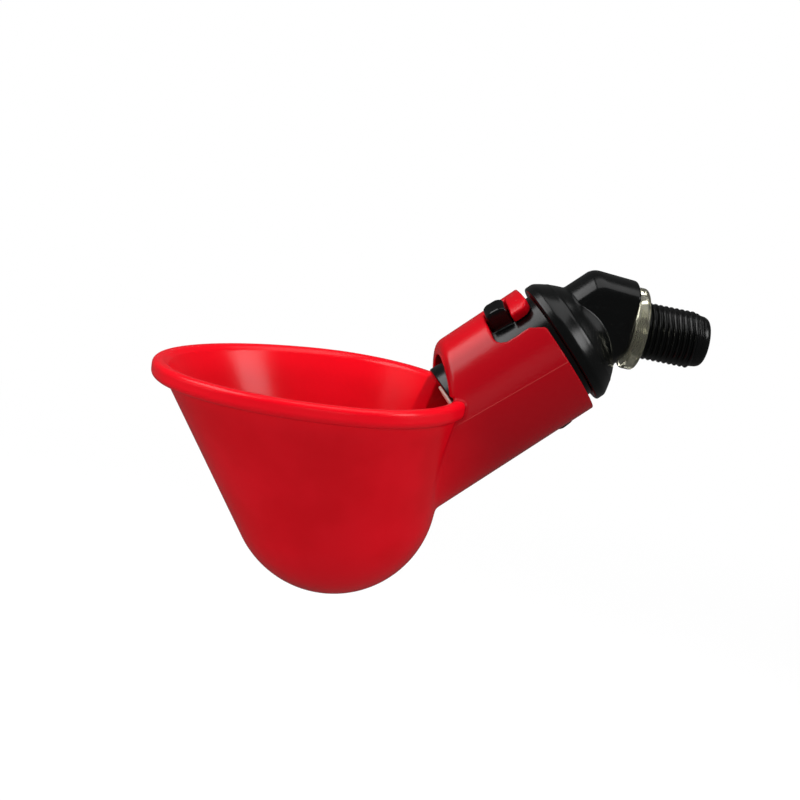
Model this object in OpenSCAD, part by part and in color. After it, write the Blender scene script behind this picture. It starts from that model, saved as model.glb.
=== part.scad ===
// Small poultry drinker: a slanted water bowl with a neck sleeve, held by a
// bayonet on an elbow valve with a threaded inlet.
// Row frame: +X runs out along the inlet thread, +Z up, Y = 0 is the plane of
// symmetry. The origin lies on the thread's axis at the washer's outer face.

/* [Inlet] */
// Diameter over the crests of the inlet thread
thread_d = 8.2; // [7:0.1:11]
// Length from the washer's outer face to the tip
spigot_len = 10; // [8:0.1:16]
// Length of the bevelled tip beyond the thread
tip_len = 1.6; // [0.8:0.1:3]
// Diameter at the end of the tip
tip_d = 6.6; // [5.8:0.1:7.5]
// Water bore through inlet and elbow
water_bore_d = 4.4; // [3:0.1:5]
// Diameter of the relief under the washer
relief_d = 7.6; // [6.5:0.1:8.1]
// Step from the thread's crests down to the tip
tip_step = 0.35; // [0.1:0.05:0.6]

/* [Inlet washer] */
// Outside diameter of the flat washer
washer_d = 11.9; // [10:0.1:16]
// Thickness of the flat washer
washer_t = 1.8; // [1:0.1:3]
// Gap all round between the washer's hole and the thread
washer_gap = 0.15; // [0.05:0.05:0.4]

/* [Elbow] */
// Rise of the neck behind the inlet's axis, in degrees
elbow_deg = 45; // [30:1:60]
// Diameter of the two mitred limbs
limb_d = 13.1; // [12:0.1:16]
// Width over the two spanner flats
flat_w = 9.1; // [8:0.1:12]
// Tilt of the inlet's limb against the thread's axis, in degrees
limb_tilt = 4; // [0:0.5:8]
// How far behind the elbow's centre the axes of the two limbs meet
limb_meet = 0.65; // [0:0.05:1.5]
// Distance from the elbow's centre to its end face
elbow_seat = 4.6; // [4:0.1:8]

/* [Valve barrel] */
// Height of the dome behind the flange
dome_h = 4.95; // [3:0.05:5.5]
// How far the dome bulges past a straight cone
dome_bulge = 0.45; // [0:0.05:0.7]
// Diameter of the flange that closes the sleeve
flange_d = 18.9; // [17.5:0.1:20]
// Distance from the elbow's centre to the flange's front face
flange_at = 6.2; // [5.5:0.1:8]
// Thickness of the flange's rim
flange_t = 1.35; // [1:0.05:2]
// Diameter of the barrel inside the sleeve
barrel_d = 16.4; // [14:0.1:17]
// Diameter of the barrel's nose
nose_d = 14.4; // [12:0.1:15]
// Distance from the elbow's centre to the barrel's front end
barrel_end = 23.9; // [21:0.1:28]
// Length of the nose
nose_len = 2.6; // [1:0.1:5]
// Distance from the elbow's centre to the start of the valve chamber
chamber_at = 7.6; // [6.5:0.1:10]
// Diameter of the valve chamber
chamber_d = 9; // [8:0.1:10]

/* [Bayonet] */
// Width of a lug around the barrel
lug_w = 3.2; // [2.5:0.1:4]
// Length of a lug along the barrel
lug_len = 3.2; // [2:0.1:5]
// Distance from the elbow's centre to the lug's near end
lug_at = 10.05; // [9.8:0.05:12]
// How far a lug stands proud of the sleeve
lug_proud = 1; // [0.5:0.1:2]
// Radius of the lug's crowned top, seen from its side
lug_crown = 2.6; // [2:0.1:6]
// Angle of the lug from the top of the neck, in degrees
lug_deg = 13; // [5:1:20]
// Slant of lugs and slots around the neck, which draws the cup tight
lug_slant = 9; // [0:1:12]
// Play between the lug and the ends of its slot
lug_play = 0.2; // [0.1:0.05:0.3]
// Angle from the top to the open side of the slot, in degrees
slot_deg = 48.5; // [46:0.5:60]
// Angle from the top to the hook's free edge, in degrees
hook_deg = 29; // [20:1:32]
// Extra opening of the slot at the sleeve's mouth, in degrees
slot_flare = 8; // [0:0.5:15]
// Distance from the elbow's centre to where that opening starts
flare_at = 9.25; // [8.5:0.05:9.6]
// Radius of the slot's inner corner
slot_corner = 2; // [1:0.1:2.2]

/* [Cup neck] */
// Outside diameter of the sleeve at its mouth
sleeve_d = 20.2; // [19:0.1:22]
// Outside diameter of the sleeve at the bowl
sleeve_front_d = 19.8; // [18.8:0.1:22]
// Distance from the elbow's centre to the sleeve's mouth
sleeve_at = 7.15; // [6.8:0.05:8.5]
// Radial gap between barrel and sleeve
sleeve_gap = 0.1; // [0.05:0.05:0.3]
// Distance along the neck from the elbow's centre to the rim's plane
neck_to_rim = 18.5; // [16:0.1:24]
// Distance from there to the bowl's widest place
bowl_offset = 22.2; // [18:0.1:28]
// Where the top of the neck's open front stands, from the bowl's widest place
neck_front = 14; // [11:0.1:16]
// Lean of the open front back from its top, in degrees
front_lean = 12; // [0:1:25]
// How far the neck runs on past the rim's plane
neck_past = 20.1; // [18:0.1:22]
// How far the neck's bore runs on past the rim's plane
bore_past = 16.5; // [14:0.1:17]

/* [Bowl] */
// Tilt of the rim's plane against the inlet's axis, in degrees
rim_tilt = 5.5; // [0:0.5:15]
// Rim, from its widest place to the lip
rim_front = 26.1; // [20:0.1:34]
// Rim, from its widest place to the rear
rim_rear = 19.2; // [15:0.1:26]
// Half of the rim's width
rim_half_w = 23.1; // [18:0.1:30]
// Height of the rim's band
rim_h = 2.6; // [1.5:0.1:4]
// Step from the band to the wall below
rim_step = 0.5; // [0.3:0.1:2]
// How far in the band's top edge is rounded off
rim_round = 0.7; // [0.3:0.1:1]
// Thickness of the bowl's wall
wall = 1.5; // [1:0.1:2.5]
// Outside depth of the bowl
bowl_depth = 31.3; // [25:0.1:40]
// Radius of the rounded bottom
bottom_r = 14.7; // [10:0.1:18]
// Where the bottom's centre lies behind the widest place
bottom_x = 1.8; // [-2:0.1:6]

/* [Valve insert] */
// Outside diameter of the outlet bush
bush_d = 8.9; // [8:0.05:8.95]
// Length of the outlet bush
bush_len = 5.4; // [4:0.1:7]
// Hole in the outlet bush
bush_hole_d = 3.2; // [2.8:0.1:4]
// How far the bush stands out of the barrel
bush_proud = 0.3; // [0:0.1:1]
// Thickness of the rubber seat ring
seal_t = 1.6; // [1:0.1:2.5]
// Hole in the rubber seat ring
seal_hole_d = 3.8; // [3:0.1:5]
// Diameter of the pecking pin
pin_d = 2; // [1.5:0.1:2.5]
// How far the pin stands out of the bush
pin_proud = 6.6; // [3:0.1:10]
// Bevel on the pin's tip
pin_bevel = 0.4; // [0:0.1:0.6]
// Diameter of the valve head
head_d = 6.8; // [5.5:0.1:8]
// Thickness of the valve head
head_t = 1.4; // [0.8:0.1:2.5]
// Diameter of the boss that centres the spring
boss_d = 4.4; // [3:0.1:4.6]
// Height of that boss
boss_h = 1; // [0.5:0.1:1.5]
// Wire of the return spring
wire_d = 0.5; // [0.3:0.05:0.8]
// Outside diameter of the return spring
spring_d = 6.2; // [5.6:0.1:7]
// Turns of the return spring
spring_turns = 6; // [4:1:9]

/* [Hidden] */
eps = 0.01;
over = 1;
$fn = 96;
elbow_x = -washer_t - elbow_seat;
neck_deg = elbow_deg - rim_tilt;
rim_ex = bowl_offset + neck_to_rim * cos(neck_deg);
rim_ez = neck_to_rim * sin(neck_deg);
front_top = (neck_front - bowl_offset) * tan(neck_deg) + sleeve_d / 2 / cos(neck_deg);
bore_d = barrel_d + 2 * sleeve_gap;
lug_r = sleeve_d / 2 + lug_proud;
bush_end = barrel_end + bush_proud;
bush_at = bush_end - bush_len;
seal_at = bush_at - seal_t;
head_at = seal_at - head_t;
spring_gap = 0.02;
spring_at = chamber_at + spring_gap;
spring_len = head_at - spring_gap - spring_at;
neck_end = neck_to_rim + neck_past;
bore_end = neck_to_rim + bore_past;
limbs_x = elbow_x + limb_meet * cos(elbow_deg);
limbs_z = limb_meet * sin(elbow_deg);
rings = 48;
arcs = 9;
coil_steps = 20;
coil_sides = 8;

red = [0.86, 0.04, 0.07];
black = [0.05, 0.05, 0.055];
clear = [0.83, 0.82, 0.66, 0.75];
pale = [0.80, 0.79, 0.74];
grey = [0.25, 0.25, 0.26];
steel = [0.72, 0.73, 0.74];

// The neck's frame: +Z down the neck to the bowl, +X to the neck's top.
module neck_frame() {
    translate([elbow_x, 0, 0])
        rotate([0, -(90 + elbow_deg), 0])
            children();
}

// The rim's frame: z = 0 on the rim, +X from the bowl to the neck.
module rim_frame() {
    translate([elbow_x, 0, 0])
        rotate([0, -rim_tilt, 0])
            translate([-rim_ex, 0, -rim_ez])
                children();
}

// A piece of the neck's wall between two angles from the top.
module sector(from_deg, to_deg, low, high) {
    mid_deg = (from_deg + to_deg) / 2;
    far = sleeve_d;
    translate([0, 0, low])
        linear_extrude(height = high - low)
            polygon([[0, 0],
                     [far * cos(from_deg), -far * sin(from_deg)],
                     [far * cos(mid_deg), -far * sin(mid_deg)],
                     [far * cos(to_deg), -far * sin(to_deg)]]);
}

// The egg-shaped rim: a longer half to the lip, a shorter one to the neck.
function rim_x(a, inset) = (cos(a) < 0 ? rim_front - inset : rim_rear - inset) * cos(a);
function rim_y(a, inset) = (rim_half_w - inset) * sin(a);

// A wall line runs from the rim, tangent to the rounded bottom, and down
// around it. The bottom's centre lies at depth bowl_depth - bottom_r.
centre_h = bowl_depth - bottom_r;
function flat_r(a, inset) = norm([rim_x(a, inset) - bottom_x, rim_y(a, inset)]);
function turn(a, inset) = atan2(rim_y(a, inset), rim_x(a, inset) - bottom_x);
function touch(a, inset, r) = atan2(centre_h, flat_r(a, inset))
    - acos(r / norm([flat_r(a, inset), centre_h]));
function arc_deg(a, inset, r, k) = touch(a, inset, r)
    + (-90 - touch(a, inset, r)) * k / arcs;
function at_r(a, inset, rho, z) =
    [bottom_x + rho * cos(turn(a, inset)), rho * sin(turn(a, inset)), z];
function line_r(a, inset, r, z) = flat_r(a, inset)
    + (r * cos(touch(a, inset, r)) - flat_r(a, inset)) * z / (r * sin(touch(a, inset, r)) - centre_h);
function wall_ring(inset, r, z) = [for (i = [0:rings - 1])
    at_r(i * 360 / rings, inset, line_r(i * 360 / rings, inset, r, z), z)];
function arc_ring(inset, r, k) = [for (i = [0:rings - 1])
    at_r(i * 360 / rings, inset, r * cos(arc_deg(i * 360 / rings, inset, r, k)),
         r * sin(arc_deg(i * 360 / rings, inset, r, k)) - centre_h)];
function band_ring(inset, z) = [for (i = [0:rings - 1])
    [rim_x(i * 360 / rings, inset), rim_y(i * 360 / rings, inset), z]];
function flatten(l) = [for (a = l) for (b = a) b];

// Closes a stack of rings that ends in one lowest point.
module shell(stack, pole) {
    n = len(stack);
    points = concat(flatten(stack), [pole]);
    top = [[for (i = [0:rings - 1]) rings - 1 - i]];
    sides = [for (k = [0:n - 2]) for (i = [0:rings - 1]) for (h = [0, 1])
        h == 0 ? [k * rings + i, k * rings + (i + 1) % rings, (k + 1) * rings + i]
               : [k * rings + (i + 1) % rings, (k + 1) * rings + (i + 1) % rings, (k + 1) * rings + i]];
    foot = [for (i = [0:rings - 1]) [(n - 1) * rings + i, (n - 1) * rings + (i + 1) % rings, n * rings]];
    polyhedron(points = points, faces = concat(top, sides, foot));
}

module bowl_outside() {
    shell(concat([band_ring(rim_round, 0), band_ring(0.3 * rim_round, -0.13 * rim_h),
                  band_ring(0, -0.36 * rim_h), band_ring(0.2 * rim_step, -0.65 * rim_h),
                  band_ring(0.8 * rim_step, -0.88 * rim_h),
                  wall_ring(rim_step, bottom_r, -rim_h)],
                 [for (k = [0:arcs - 1]) arc_ring(rim_step, bottom_r, k)]),
          [bottom_x, 0, -bowl_depth]);
}

module bowl_inside() {
    inset = rim_step + wall;
    inner_r = bottom_r - wall;
    shell(concat([wall_ring(inset, inner_r, 2 * eps), wall_ring(inset, inner_r, -rim_h)],
                 [for (k = [0:arcs - 1]) arc_ring(inset, inner_r, k)]),
          [bottom_x, 0, -bowl_depth + wall]);
}

// How far the slant has moved a slot's edge at an angle from the top.
function slanted(deg) = tan(lug_slant) * sleeve_d / 2 * sin(deg - lug_deg);

// One bayonet slot: the pocket that holds the lug, and its way in.
module slot() {
    start_deg = lug_deg - asin(lug_w / bore_d) - 2;
    corner_deg = slot_deg - asin(2 * slot_corner / sleeve_d);
    pocket_len = lug_len + 2 * lug_play;
    corner_at = lug_at + lug_len + lug_play + slanted(corner_deg) - slot_corner;
    intersection() {
        rotate([0, 0, -lug_deg])
            translate([0, 0, lug_at + lug_len / 2])
                rotate([-lug_slant, 0, 0])
                    translate([0, -sleeve_d, -pocket_len / 2])
                        cube([sleeve_d, 2 * sleeve_d, pocket_len]);
        union() {
            sector(start_deg, corner_deg, sleeve_at, corner_at + 2 * slot_corner);
            sector(start_deg, slot_deg, sleeve_at, corner_at);
            rotate([0, 0, -corner_deg])
                translate([0, 0, corner_at])
                    rotate([0, 90, 0])
                        cylinder(r = slot_corner, h = sleeve_d);
        }
    }
    sector(hook_deg, slot_deg, sleeve_at - over, lug_at + lug_len / 2);
    hull() {
        sector(hook_deg, slot_deg, flare_at - eps, flare_at);
        sector(hook_deg, slot_deg + slot_flare, sleeve_at - eps, sleeve_at);
    }
}

module cup() {
    color(red)
    difference() {
        union() {
            rim_frame() bowl_outside();
            intersection() {
                neck_frame()
                    translate([0, 0, sleeve_at])
                        cylinder(d1 = sleeve_d, d2 = sleeve_front_d, h = neck_end - sleeve_at);
                rim_frame() {
                    translate([neck_front, 0, front_top])
                        rotate([0, -front_lean, 0])
                            translate([0, -sleeve_d, -2 * bowl_depth])
                                cube([3 * bowl_depth, 2 * sleeve_d, 3 * bowl_depth]);
                    translate([0, -sleeve_d, -2 * bowl_depth])
                        cube([3 * bowl_depth, 2 * sleeve_d, 2 * bowl_depth]);
                }
            }
        }
        rim_frame() bowl_inside();
        neck_frame() {
            translate([0, 0, sleeve_at - over])
                cylinder(d = bore_d, h = bore_end - sleeve_at + over);
            slot();
            rotate([0, 0, 180]) slot();
        }
    }
}

// Elbow block: two mitred round limbs between spanner flats.
module elbow_block() {
    intersection() {
        neck_frame()
            translate([0, 0, -limb_d])
                cylinder(d = limb_d, h = limb_d + flange_at - flange_t);
        translate([elbow_x - 2 * limb_d, -flat_w / 2, -2 * limb_d])
            cube([2 * limb_d + elbow_seat, flat_w, 4 * limb_d]);
        translate([limbs_x, 0, limbs_z])
            union() {
                rotate([0, -(elbow_deg - limb_tilt) / 2, 0])
                    translate([-2 * limb_d, -limb_d, -2 * limb_d])
                        cube([2 * limb_d, 2 * limb_d, 4 * limb_d]);
                rotate([0, 90 + limb_tilt, 0])
                    translate([0, 0, -limb_d / 2])
                        cylinder(d = limb_d, h = limb_d / 2 + elbow_seat + over);
            }
    }
}

// Flange, dome behind it and barrel, turned about the neck's axis.
module barrel() {
    back = flange_at - flange_t;
    run = flange_d / 2 - flat_w / 2;
    slant = norm([run, dome_h]);
    dome = [for (s = [0:0.125:1]) let (out = dome_bulge * 4 * s * (1 - s) / slant)
        [flat_w / 2 + s * run + out * dome_h, back - (1 - s) * dome_h - out * run]];
    rotate_extrude()
        polygon(concat([[0, back - dome_h]], dome,
                [[flange_d / 2, flange_at], [barrel_d / 2, flange_at],
                 [barrel_d / 2, barrel_end - nose_len - over], [nose_d / 2, barrel_end - nose_len],
                 [nose_d / 2, barrel_end], [0, barrel_end]]));
}

module lug() {
    rotate([0, 0, -lug_deg])
        intersection() {
            translate([0, 0, lug_at + lug_len / 2])
                rotate([-lug_slant, 0, 0])
                    intersection() {
                        translate([barrel_d / 2 - over, -lug_w / 2, -lug_len / 2])
                            cube([lug_r - barrel_d / 2 + 2 * over, lug_w, lug_len]);
                        translate([lug_r - lug_crown, lug_w, 0])
                            rotate([90, 0, 0])
                                cylinder(r = lug_crown, h = 2 * lug_w);
                    }
            translate([0, 0, lug_at - over])
                cylinder(r = lug_r, h = lug_len + 2 * over);
        }
}

module valve_body() {
    color(black)
    difference() {
        union() {
            elbow_block();
            neck_frame() {
                barrel();
                lug();
                rotate([0, 0, 180]) lug();
            }
            translate([-washer_t - over, 0, 0])
                rotate([0, 90, 0])
                    cylinder(d = relief_d, h = washer_t + 2 * over);
            rotate([0, 90, 0])
                cylinder(d = thread_d, h = spigot_len - tip_len);
            translate([spigot_len - tip_len, 0, 0])
                rotate([0, 90, 0])
                    cylinder(d1 = thread_d - 2 * tip_step, d2 = tip_d, h = tip_len);
        }
        translate([elbow_x, 0, 0])
            rotate([0, 90, 0])
                cylinder(d = water_bore_d, h = spigot_len - elbow_x + over);
        neck_frame() {
            translate([0, 0, -water_bore_d / 4])
                cylinder(d = water_bore_d, h = chamber_at + water_bore_d / 2);
            translate([0, 0, chamber_at])
                cylinder(d = chamber_d, h = barrel_end - chamber_at + over);
        }
    }
}

module inlet_washer() {
    color(clear)
    translate([-washer_t, 0, 0])
        rotate([0, 90, 0])
            difference() {
                cylinder(d = washer_d, h = washer_t);
                translate([0, 0, -over])
                    cylinder(d = thread_d + 2 * washer_gap, h = washer_t + 2 * over);
            }
}

module outlet_bush() {
    color(pale)
    neck_frame()
        translate([0, 0, bush_at])
            difference() {
                cylinder(d = bush_d, h = bush_len);
                translate([0, 0, -over])
                    cylinder(d = bush_hole_d, h = bush_len + 2 * over);
            }
}

module seat_ring() {
    color(grey)
    neck_frame()
        translate([0, 0, seal_at])
            difference() {
                cylinder(d = bush_d, h = seal_t);
                translate([0, 0, -over])
                    cylinder(d = seal_hole_d, h = seal_t + 2 * over);
            }
}

module valve_stem() {
    pin_end = bush_end + pin_proud;
    color(steel)
    neck_frame() {
        translate([0, 0, head_at - boss_h])
            cylinder(d = boss_d, h = boss_h + head_t / 2);
        translate([0, 0, head_at])
            cylinder(d = head_d, h = head_t);
        translate([0, 0, head_at])
            cylinder(d = pin_d, h = pin_end - pin_bevel - head_at);
        translate([0, 0, pin_end - pin_bevel])
            cylinder(d1 = pin_d, d2 = pin_d - 2 * pin_bevel, h = pin_bevel);
    }
}

// Open coil between the chamber's shoulder and the valve head.
module return_spring() {
    coil_r = (spring_d - wire_d) / 2;
    wire_r = wire_d / 2;
    steps = spring_turns * coil_steps;
    rise = spring_len - wire_d;
    ring = [for (k = [0:steps]) for (j = [0:coil_sides - 1])
        let (a = k * 360 / coil_steps, b = j * 360 / coil_sides, r = coil_r + wire_r * cos(b))
        [r * cos(a), r * sin(a), wire_r + rise * k / steps + wire_r * sin(b)]];
    sides = [for (k = [0:steps - 1]) for (j = [0:coil_sides - 1]) for (h = [0, 1])
        let (a = k * coil_sides + j, b = k * coil_sides + (j + 1) % coil_sides)
        h == 0 ? [a, b, a + coil_sides] : [b, b + coil_sides, a + coil_sides]];
    ends = [[for (j = [0:coil_sides - 1]) coil_sides - 1 - j],
            [for (j = [0:coil_sides - 1]) steps * coil_sides + j]];
    color(steel)
    neck_frame()
        translate([0, 0, spring_at])
            polyhedron(points = ring, faces = concat(sides, ends));
}

cup();
valve_body();
inlet_washer();
outlet_bush();
seat_ring();
valve_stem();
return_spring();
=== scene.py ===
# %% [markdown]
# # A small poultry drinker, from frame to picture
#
# The object is a red drinking cup, about 80 mm long, on a black elbow valve
# that screws into a water pipe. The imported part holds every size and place,
# and this script gives each piece its real surface. All shapes are worked
# out in millimetres and turned into metres where a mesh is made.

# %% Load the frame
import math

import bpy
import numpy as np
from mathutils import Matrix, Vector


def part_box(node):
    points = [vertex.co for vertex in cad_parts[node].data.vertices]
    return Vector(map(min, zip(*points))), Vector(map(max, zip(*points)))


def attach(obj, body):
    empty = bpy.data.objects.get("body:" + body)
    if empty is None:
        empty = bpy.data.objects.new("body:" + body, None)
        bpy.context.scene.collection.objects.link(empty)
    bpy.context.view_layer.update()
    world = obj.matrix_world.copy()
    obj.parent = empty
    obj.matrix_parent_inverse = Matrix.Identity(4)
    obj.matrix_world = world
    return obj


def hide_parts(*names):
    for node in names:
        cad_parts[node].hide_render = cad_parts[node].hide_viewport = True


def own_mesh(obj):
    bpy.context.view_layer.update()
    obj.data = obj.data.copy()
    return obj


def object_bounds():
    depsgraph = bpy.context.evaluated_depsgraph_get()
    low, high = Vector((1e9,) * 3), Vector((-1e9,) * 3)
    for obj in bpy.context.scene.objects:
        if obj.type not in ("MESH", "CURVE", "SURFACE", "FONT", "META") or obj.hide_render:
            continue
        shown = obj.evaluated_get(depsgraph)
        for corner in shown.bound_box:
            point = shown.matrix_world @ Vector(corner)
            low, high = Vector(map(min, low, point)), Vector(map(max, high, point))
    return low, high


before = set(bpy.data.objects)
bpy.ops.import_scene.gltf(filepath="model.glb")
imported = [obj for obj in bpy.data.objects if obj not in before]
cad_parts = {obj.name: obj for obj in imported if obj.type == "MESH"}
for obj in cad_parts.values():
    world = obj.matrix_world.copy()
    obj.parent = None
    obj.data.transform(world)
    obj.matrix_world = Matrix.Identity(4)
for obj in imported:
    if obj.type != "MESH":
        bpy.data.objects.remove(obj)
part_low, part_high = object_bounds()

MM = 0.001
scene = bpy.context.scene
print("part box in mm:", [round(v * 1000, 1) for v in (*part_low, *part_high)])

# %% [markdown]
# ## Two slanted frames
#
# The drinker is built along three lines: the inlet's axis, the neck that
# drops at 45 degrees from the elbow, and the bowl whose rim is tilted 5.5
# degrees. Writing each shape in the frame of its own line keeps the rules
# simple. A point could be turned with Blender's matrices one at a time, but
# plain arrays move a million points at once, which the mouldings need.

# %% Frames of the neck and of the rim
ELBOW = np.array([-6.4, 0.0, 0.0])
ELBOW_DEG = 45.0
RIM_TILT = 5.5
NECK_TO_RIM = 18.5
BOWL_OFFSET = 22.2

elbow = math.radians(ELBOW_DEG)
tilt = math.radians(RIM_TILT)
neck_fall = elbow - tilt
NECK_DOWN = np.array([-math.cos(elbow), 0.0, -math.sin(elbow)])
NECK_TOP = np.array([-math.sin(elbow), 0.0, math.cos(elbow)])
SIDE = np.array([0.0, 1.0, 0.0])
RIM_X = np.array([math.cos(tilt), 0.0, math.sin(tilt)])
RIM_Z = np.array([-math.sin(tilt), 0.0, math.cos(tilt)])
RIM_CENTRE = (ELBOW - RIM_X * (BOWL_OFFSET + NECK_TO_RIM * math.cos(neck_fall))
              - RIM_Z * NECK_TO_RIM * math.sin(neck_fall))


def seen_from(x, y, z, origin, first, third):
    """Coordinates of points in a frame given by its origin, first and third axis."""
    dx, dy, dz = x - origin[0], y - origin[1], z - origin[2]
    return dx * first[0] + dz * first[2], dy, dx * third[0] + dz * third[2]


def from_neck(u, v, t):
    """A point of the row frame, from the neck's top, side and length."""
    return ELBOW + NECK_TOP * u + SIDE * v + NECK_DOWN * t


print("rim centre in mm:", RIM_CENTRE.round(2))

# %% [markdown]
# ## Rounded joins between shapes
#
# A moulding has no sharp edge anywhere: each inner corner holds a small
# radius of the mould, and each outer edge is broken. Booleans and a bevel
# could make it, but a bevel fails where curved walls meet at a slant. So the
# mouldings are written as distances: below zero is plastic, above zero is
# air. Two distances join with a radius, or cut each other with a radius, and
# the fillets come by themselves.

# %% Join, cut and corner helpers
def joined(a, b, radius):
    """Union of two solids with a fillet of about this radius."""
    h = np.maximum(radius - np.abs(a - b), 0.0) / radius
    return np.minimum(a, b) - h * h * radius * 0.25


def common(a, b, radius):
    """What two solids share, with its new edges rounded."""
    return -joined(-a, -b, radius)


def without(a, b, radius):
    """Solid a with b cut out of it, edges rounded."""
    return -joined(-a, b, radius)


def rounded_box(x, z, half_x, half_z, radius):
    """Flat distance to a box centred at zero whose corners have this radius."""
    qx, qz = np.abs(x) - (half_x - radius), np.abs(z) - (half_z - radius)
    outside = np.hypot(np.maximum(qx, 0.0), np.maximum(qz, 0.0))
    return outside + np.minimum(np.maximum(qx, qz), 0.0) - radius


# %% [markdown]
# ## The cup's bowl
#
# Seen from above the bowl is an egg: a longer half towards the lip, a
# shorter one towards the neck. In every upright section the wall runs
# straight down from the rim until it touches a ball, and the ball closes the
# bottom. One rule with two sizes gives both faces of the wall.

# %% Bowl walls and rim bead
RIM_FRONT, RIM_REAR, RIM_HALF = 26.1, 19.2, 23.1
RIM_HEIGHT, RIM_STEP, RIM_ROUND, WALL = 2.6, 0.5, 0.8, 1.5
BOWL_DEPTH, BOTTOM_R, BOTTOM_X = 31.3, 14.7, 1.8
BALL_DEPTH = BOWL_DEPTH - BOTTOM_R


def bowl_wall(x, y, z, inset, ball_r):
    """Distance to the bowl's face that starts this far inside the rim's edge."""
    flat = np.hypot(x - BOTTOM_X, y) + 1e-6
    c, s = (x - BOTTOM_X) / flat, y / flat
    half = RIM_HALF - inset
    reach = {}
    for name, length in (("front", RIM_FRONT - inset), ("rear", RIM_REAR - inset)):
        p = BOTTOM_X * c / length ** 2
        q = (c / length) ** 2 + (s / half) ** 2
        reach[name] = (np.sqrt(p * p - q * ((BOTTOM_X / length) ** 2 - 1)) - p) / q
    rim = np.where(BOTTOM_X + reach["rear"] * c > 0, reach["rear"], reach["front"])
    touch = np.arctan2(BALL_DEPTH, rim) - np.arccos(ball_r / np.hypot(rim, BALL_DEPTH))
    up = z + BALL_DEPTH
    straight = flat * np.cos(touch) + up * np.sin(touch) - ball_r
    return np.where(np.arctan2(up, flat) > touch, straight, np.hypot(flat, up) - ball_r)


def rim_bead(x, y, z):
    """Distance to the thick bead that runs round the rim."""
    length = np.where(x > 0, RIM_REAR, RIM_FRONT)
    size = np.hypot(x / length, y / RIM_HALF) + 1e-6
    steep = np.hypot(x / length ** 2, y / RIM_HALF ** 2) / size + 1e-9
    outward = (size - 1) / steep
    thick = RIM_STEP + WALL
    corner = np.where(z > -RIM_HEIGHT / 2, RIM_ROUND, thick / 2)
    return rounded_box(outward + thick / 2, z + RIM_HEIGHT / 2, thick / 2, RIM_HEIGHT / 2, corner)


# %% [markdown]
# ## The cup's neck and its bayonet slots
#
# The neck is a slightly tapered sleeve. Its upper end is open to the valve,
# and its lower end opens over the bowl with a face that leans back a little.
# Two slots, half a turn apart, let the valve's lugs in from the mouth and
# then hold them behind a hook. The slots are drawn flat, as width around the
# neck against length along it, and then cut through the wall.

# %% Neck sleeve and slots
SLEEVE_D, SLEEVE_FRONT_D, SLEEVE_AT, BORE_D = 20.2, 19.8, 7.15, 16.6
NECK_END, BORE_END = NECK_TO_RIM + 20.1, NECK_TO_RIM + 16.5
NECK_FRONT, FRONT_LEAN = 14.0, math.radians(12)
FRONT_TOP = ((NECK_FRONT - BOWL_OFFSET) * math.tan(neck_fall)
             + SLEEVE_D / 2 / math.cos(neck_fall))
LUG_W, LUG_LEN, LUG_AT, LUG_DEG, LUG_PROUD = 3.2, 3.2, 10.05, 13.0, 1.0
LUG_PLAY, LUG_CROWN, LUG_SLANT = 0.2, 2.6, math.radians(9)
SLOT_DEG, HOOK_DEG, SLOT_FLARE, FLARE_AT, SLOT_CORNER = 48.5, 29.0, 8.0, 9.25, 2.0
HOOK_FLARE, HOOK_AT = 7.0, 8.6
ARC = math.pi / 180 * SLEEVE_D / 2


def neck_sleeve(u, v, t):
    """The sleeve's outer solid, before its front is cut."""
    share = (t - SLEEVE_AT) / (NECK_END - SLEEVE_AT)
    radius = (SLEEVE_D + share * (SLEEVE_FRONT_D - SLEEVE_D)) / 2
    return common(np.hypot(u, v) - radius, np.maximum(SLEEVE_AT - t, t - NECK_END), 0.22)


def slot_pocket(degrees, t):
    """The pocket behind the hook, drawn flat: slanted ends and one large corner."""
    shift = np.tan(LUG_SLANT) * SLEEVE_D / 2 * np.sin(np.radians(degrees - LUG_DEG))
    along = (t - LUG_AT - LUG_LEN / 2 - shift) * math.cos(LUG_SLANT)
    half = LUG_LEN / 2 + LUG_PLAY
    far_end, deep = along - half + SLOT_CORNER, (degrees - SLOT_DEG) * ARC + SLOT_CORNER
    corner = (np.hypot(np.maximum(far_end, 0), np.maximum(deep, 0))
              + np.minimum(np.maximum(far_end, deep), 0) - SLOT_CORNER)
    start = LUG_DEG - math.degrees(math.asin(LUG_W / BORE_D)) - 2
    return np.maximum(corner, np.maximum(-half - along, (start - degrees) * ARC))


def slot(u, v, t, turn_deg):
    """One bayonet slot: a pocket for the lug, and its flared way in."""
    degrees = (np.degrees(np.arctan2(-v, u)) - turn_deg + 180) % 360 - 180
    opening = np.maximum(FLARE_AT - t, 0) / (FLARE_AT - SLEEVE_AT)
    edge = SLOT_DEG + SLOT_FLARE * opening
    hook = HOOK_DEG - HOOK_FLARE * (np.maximum(HOOK_AT - t, 0) / (HOOK_AT - SLEEVE_AT)) ** 2
    sides = np.maximum(hook - degrees, degrees - edge) * ARC
    way_in = np.maximum(sides, t - LUG_AT - LUG_LEN / 2)
    return joined(slot_pocket(degrees, t), way_in, 0.2)


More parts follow.
